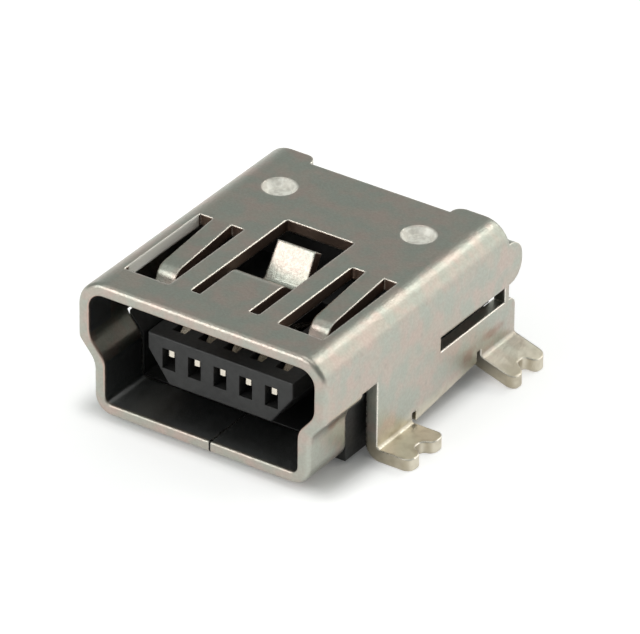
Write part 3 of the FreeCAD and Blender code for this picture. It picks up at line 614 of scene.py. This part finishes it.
def make_plated_sheet(settings):
    """Dull nickel over copper, with tinned feet, stains, pits and worn edges, and
    painted shade and painted highlights.
    """
    material, tree, shader = new_material("plated_sheet")
    tone, clouds = plating_tone(tree, settings)
    # Painted highlight in the dimples, matt and with clouds in it.
    dimple_highlight = dimple_highlights(tree, settings)
    highlight_clouds = shared(tree, "Clouds", {"Size": 0.17 * MM, "Seed": 5.3})["Broad"]
    painted_highlight = tinted(tree, settings.painted_highlight, highlight_clouds, HIGHLIGHT_CLOUD_TINT, settings.plating)
    tone = blended(tree, dimple_highlight, tone, painted_highlight)
    sheared = sheared_faces(tree)
    tone = tinted(tree, tone, sheared, SHEARED_TINT, settings.bare_cut)
    # Painted highlight: the cut edge at the left opening, near white and not metal.
    slot_highlight = region(tree, LEFT_SLOT_HIGHLIGHT, softness=0.04 * MM)
    tone = blended(tree, slot_highlight, tone, settings.painted_highlight)
    tone = tinted(tree, tone, rim_burr(tree), BURR_TINT, settings.burr)
    # Painted shade inside the mouth.
    for corners in MOUTH_INSIDE_SHADE:
        inside = region(tree, corners, softness=0.06 * MM)
        tone = blended(tree, inside, tone, settings.inside)
    # Stains, and painted shade under the step's overhang.
    for centre, reach in STAINS_AND_SHADE:
        bloom = shared(tree, "Bloom", {"Centre": centre, "Reach": reach})["Mask"]
        tone = tinted(tree, tone, bloom, STAIN_AND_SHADE_TINT, settings.stain_and_shade)
    grain = shared(tree, "Rolled Grain", {})["Lines"]
    pits = shared(tree, "Pits", {"Spacing": 0.55 * MM, "Radius": 0.16})["Mask"]
    tone = tinted(tree, tone, pits, PIT_TINT, settings.pit)
    # Edges, partly worn and partly given a painted highlight.
    rounded, edges = rounded_edges(tree, settings.edge_width)
    tone = tinted(tree, tone, edges, WORN_AND_HIGHLIGHT_TINT, settings.worn_edge_and_highlight)
    # Painted shade along the seam.
    seam = region(tree, MOUTH_SEAM_SHADE, softness=0.02 * MM)
    tone = blended(tree, seam, tone, settings.seam)
    tree.links.new(tone, shader.inputs["Base Color"])
    dullness = summed(tree, settings.roughness - PLATING_EVENING, (
        (clouds["Fine"], PLATING_CLOUD_DULLING), (grain, GRAIN_DULLING),
        (dimple_highlight, DIMPLE_DULLING), (edges, EDGE_DULLING)))
    tree.links.new(dullness, shader.inputs["Roughness"])
    matt = figure(tree, "MAXIMUM", figure(tree, "MULTIPLY", dimple_highlight, MATT_DIMPLES),
                  figure(tree, "MULTIPLY", sheared, MATT_CUTS))
    metal = figure(tree, "SUBTRACT", 1.0, figure(tree, "MAXIMUM", matt, slot_highlight))
    tree.links.new(metal, shader.inputs["Metallic"])
    relief = summed(tree, 0.0, (
        (grain, GRAIN_RELIEF), (clouds["Fine"], CLOUD_RELIEF), (pits, PIT_RELIEF)))
    raise_surface(tree, shader, relief, PLATING_RELIEF, rounded)
    return material


def make_black_moulding(settings):
    """Dull black with greyer clouds, a fine grain and pits."""
    material, tree, shader = new_material("black_moulding")
    clouds = shared(tree, "Clouds", {"Size": 1.1 * MM, "Seed": 3.1})
    tone = tinted(tree, settings.black, clouds["Broad"], DUST_TINT, settings.dusty)
    tree.links.new(tone, shader.inputs["Base Color"])
    dullness = summed(tree, settings.roughness - MOULDING_EVENING, (
        (clouds["Fine"], MOULDING_CLOUD_DULLING),))
    tree.links.new(dullness, shader.inputs["Roughness"])
    grain = noise(tree, own_place(tree), scale=1.0 / settings.grain_size, detail=3.0)
    pits = shared(tree, "Pits", {"Spacing": 0.4 * MM, "Radius": 0.12})["Mask"]
    relief = figure(tree, "SUBTRACT", ramped(tree, grain, *GRAIN_RANGE), pits)
    rounded, _ = rounded_edges(tree, settings.edge_width)
    raise_surface(tree, shader, relief, MOULDING_RELIEF, rounded)
    return material


def make_contact_strip(settings):
    """Pale plating on bronze, with painted shade on the bows that stand in the mouth."""
    material, tree, shader = new_material("contact_strip")
    clouds = shared(tree, "Clouds", {"Size": 0.7 * MM, "Seed": 6.5})
    sideways = split(tree, normals(tree)["True Normal"])[0]
    sheared = ramped(tree, figure(tree, "ABSOLUTE", sideways), *SIDEWAYS_LEAN)
    tone = tinted(tree, settings.bright, sheared, BRONZE_TINT, settings.bronze)
    # Painted shade on the bows.
    tone = tinted(tree, tone, region(tree, CONTACT_BOW_SHADE), BOW_SHADE_TINT, settings.bow_shade)
    tree.links.new(tone, shader.inputs["Base Color"])
    grain = shared(tree, "Rolled Grain", {"Spacing": 0.012 * MM})["Lines"]
    dullness = summed(tree, settings.roughness - CONTACT_EVENING, (
        (clouds["Fine"], CONTACT_CLOUD_DULLING),))
    tree.links.new(dullness, shader.inputs["Roughness"])
    shader.inputs["Metallic"].default_value = 1.0
    rounded, _ = rounded_edges(tree, settings.edge_width)
    raise_surface(tree, shader, grain, CONTACT_RELIEF, rounded)
    return material


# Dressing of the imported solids.

def dress(node, material):
    """Give a solid its material, with its own mesh as it is."""
    node.data.materials.clear()
    node.data.materials.append(material)


class SOCKET_OT_dress_shell(bpy.types.Operator):
    """Plate the folded sheet, wear its edges bright and paint highlights and shade on it
    """
    bl_idname = "socket.dress_shell"
    bl_label = "Dress Shell"

    def execute(self, context):
        dress(NODES["shell"], make_plated_sheet(context.scene.socket_plating))
        return {"FINISHED"}


class SOCKET_OT_dress_housing(bpy.types.Operator):
    """Give the housing its black moulded finish"""
    bl_idname = "socket.dress_housing"
    bl_label = "Dress Housing"

    def execute(self, context):
        dress(NODES["housing"], make_black_moulding(context.scene.socket_moulding))
        return {"FINISHED"}


class SOCKET_OT_dress_contacts(bpy.types.Operator):
    """Give the five contacts their bright plating"""
    bl_idname = "socket.dress_contacts"
    bl_label = "Dress Contacts"

    def execute(self, context):
        strip = make_contact_strip(context.scene.socket_contacts)
        for name in CONTACT_NAMES:
            dress(NODES[name], strip)
        return {"FINISHED"}


# Stage.

PICTURE_WIDTH, PICTURE_HEIGHT = 640, 634
SENSOR_WIDTH = 36.0
NEAREST_SEEN = 0.1           # share of the camera's distance
FARTHEST_SEEN = 10.0         # metres

# Half the width and half the depth of the place where the floor's shade is full.
SHADE_HALF_SIZE = (HOUSING_HALF_WIDTH, -SHELL_LOW.y - 0.6 * MM, 0)

# Start and end of each slope in the surroundings, by how far a direction leans up
# or to the rear.
HORIZON_HEIGHTS = (0.08, 0.48)
HORIZON_BEHIND = (-0.1, 0.5)
FRONT_TO_REAR = (-0.6, 0.3)

# Name, direction, width and height in metres, brightness and tint of each lamp.
SOFTBOX_DISTANCE = 0.30
SOFTBOXES = (
    ("key_front_left", (-0.475, -0.769, 0.45), 0.22, 0.18, 3.1, (1.0, 0.997, 0.985)),
    ("top", (-0.05, -0.1, 1.0), 0.24, 0.24, 1.1, (1.0, 0.99, 0.97)),
    ("right_rear", (0.50, 0.71, 0.44), 0.32, 0.22, 1.0, (1.0, 0.97, 0.92)),
    ("bend_line", (0.17, 0.712, 0.685), 0.08, 0.05, 5.0, (1.0, 0.985, 0.95)),
)


def camera_axes(settings):
    """The camera's right, up and back directions."""
    turn, rise = settings.azimuth, settings.elevation
    back = Vector((math.sin(turn) * math.cos(rise), -math.cos(turn) * math.cos(rise),
                   math.sin(rise)))
    level = Vector((math.cos(turn), math.sin(turn), 0.0))
    right = math.cos(settings.roll) * level + math.sin(settings.roll) * back.cross(level)
    return right, back.cross(right), back


def add_camera(settings):
    """Camera that shows the anchor at its pixel and a millimetre at its scale."""
    right, up, back = camera_axes(settings)
    per_metre = settings.pixels_per_mm / MM
    centre = Vector(settings.anchor)
    centre += right * (PICTURE_WIDTH / 2 - settings.anchor_pixel[0]) / per_metre
    centre -= up * (PICTURE_HEIGHT / 2 - settings.anchor_pixel[1]) / per_metre
    data = bpy.data.cameras.new("camera")
    data.sensor_width = SENSOR_WIDTH
    data.lens = per_metre * settings.distance / PICTURE_WIDTH * SENSOR_WIDTH
    data.clip_start = NEAREST_SEEN * settings.distance
    data.clip_end = FARTHEST_SEEN
    camera = bpy.data.objects.new("camera", data)
    turned = Matrix((right, up, back)).transposed().to_4x4()
    camera.matrix_world = Matrix.Translation(centre + back * settings.distance) @ turned
    bpy.context.scene.collection.objects.link(camera)
    bpy.context.scene.camera = camera


def add_softbox(name, direction, width, height, brightness, tint):
    """Lamp that faces the object and shows in metal at a given brightness."""
    data = bpy.data.lights.new(name, "AREA")
    data.shape = "RECTANGLE"
    data.size = width
    data.size_y = height
    data.color = tint
    data.energy = brightness * math.pi * width * height
    lamp = bpy.data.objects.new(name, data)
    towards = Vector(direction).normalized()
    lamp.location = towards * SOFTBOX_DISTANCE
    lamp.rotation_mode = "QUATERNION"
    lamp.rotation_quaternion = towards.to_track_quat("Z", "Y")
    bpy.context.scene.collection.objects.link(lamp)


def make_floor_material(settings):
    """Diffuse floor that keeps shadows and shows white in the picture and in metal."""
    material, tree, shader = new_material("studio_floor")
    shader.inputs["Base Color"].default_value = (*settings.floor_colour, 1.0)
    shader.inputs["Roughness"].default_value = 1.0
    shader.inputs["Specular IOR Level"].default_value = 0.0
    rays = put(tree, "ShaderNodeLightPath").outputs
    seen = figure(tree, "MAXIMUM", rays["Is Camera Ray"], rays["Is Glossy Ray"])
    seen = figure(tree, "MAXIMUM", seen, rays["Is Transmission Ray"])
    past = vector(tree, "SUBTRACT", vector(tree, "ABSOLUTE", own_place(tree)),
                  SHADE_HALF_SIZE)
    away = measure(tree, "LENGTH", vector(tree, "MAXIMUM", past, (0, 0, 0)))
    lift = figure(tree, "MULTIPLY", seen,
                  ramped(tree, away, 0.0, settings.shade_reach,
                         settings.shaded_lift, settings.floor_lift))
    shader.inputs["Emission Color"].default_value = (1.0, 1.0, 1.0, 1.0)
    tree.links.new(lift, shader.inputs["Emission Strength"])
    return material


def add_floor(settings):
    """Flat square floor at the board's height."""
    mesh = bpy.data.meshes.new("floor")
    form = bmesh.new()
    bmesh.ops.create_grid(form, x_segments=1, y_segments=1, size=settings.floor_size / 2)
    form.to_mesh(mesh)
    form.free()
    floor = bpy.data.objects.new("floor", mesh)
    mesh.materials.append(make_floor_material(settings))
    bpy.context.scene.collection.objects.link(floor)


def make_surroundings(settings):
    """Plain sky, brighter low down behind the object and dimmer in front of it."""
    world = bpy.data.worlds.new("studio")
    world.use_nodes = True
    tree = world.node_tree
    direction = put(tree, "ShaderNodeTexCoord").outputs["Generated"]
    _, rearward, upward = split(tree, direction)
    low_behind = figure(tree, "MULTIPLY", falling(tree, upward, *HORIZON_HEIGHTS),
                        ramped(tree, rearward, *HORIZON_BEHIND))
    tone = blended(tree, low_behind, settings.sky, settings.horizon)
    sky = tree.nodes["Background"]
    tree.links.new(tone, sky.inputs["Color"])
    tree.links.new(ramped(tree, rearward, *FRONT_TO_REAR, settings.front_share, 1.0),
                   sky.inputs["Strength"])
    return world


class SOCKET_OT_build_stage(bpy.types.Operator):
    """Make the white floor, the soft lamps and the camera"""
    bl_idname = "socket.build_stage"
    bl_label = "Build Stage"

    def execute(self, context):
        settings = context.scene.socket_stage
        add_floor(settings)
        context.scene.world = make_surroundings(settings)
        for softbox in SOFTBOXES:
            add_softbox(*softbox)
        add_camera(settings)
        context.scene.view_settings.view_transform = "Standard"
        return {"FINISHED"}


# Registration.

class SOCKET_PT_panel(bpy.types.Panel):
    """The operators that dress the socket and build its stage"""
    bl_idname = "SOCKET_PT_panel"
    bl_label = "Board Socket"
    bl_space_type = "VIEW_3D"
    bl_region_type = "UI"
    bl_category = "Socket"

    def draw(self, context):
        for operator in OPERATORS:
            self.layout.operator(operator.bl_idname)


OPERATORS = (
    SOCKET_OT_dress_shell,
    SOCKET_OT_dress_housing,
    SOCKET_OT_dress_contacts,
    SOCKET_OT_build_stage,
)
SETTINGS = {
    "socket_plating": PlatingSettings,
    "socket_moulding": MouldingSettings,
    "socket_contacts": ContactSettings,
    "socket_stage": StageSettings,
}


def register():
    """Make the settings, the operators and the panel known to Blender."""
    for group in SETTINGS.values():
        bpy.utils.register_class(group)
    for operator in OPERATORS:
        bpy.utils.register_class(operator)
    bpy.utils.register_class(SOCKET_PT_panel)
    for name, group in SETTINGS.items():
        setattr(bpy.types.Scene, name, bpy.props.PointerProperty(type=group))


def unregister():
    """Take them out again."""
    for name in SETTINGS:
        delattr(bpy.types.Scene, name)
    bpy.utils.unregister_class(SOCKET_PT_panel)
    for operator in reversed(OPERATORS):
        bpy.utils.unregister_class(operator)
    for group in reversed(SETTINGS.values()):
        bpy.utils.unregister_class(group)


def main():
    """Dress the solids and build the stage."""
    register()
    bpy.ops.socket.dress_shell()
    bpy.ops.socket.dress_housing()
    bpy.ops.socket.dress_contacts()
    bpy.ops.socket.build_stage()


if __name__ == "__main__":
    main()
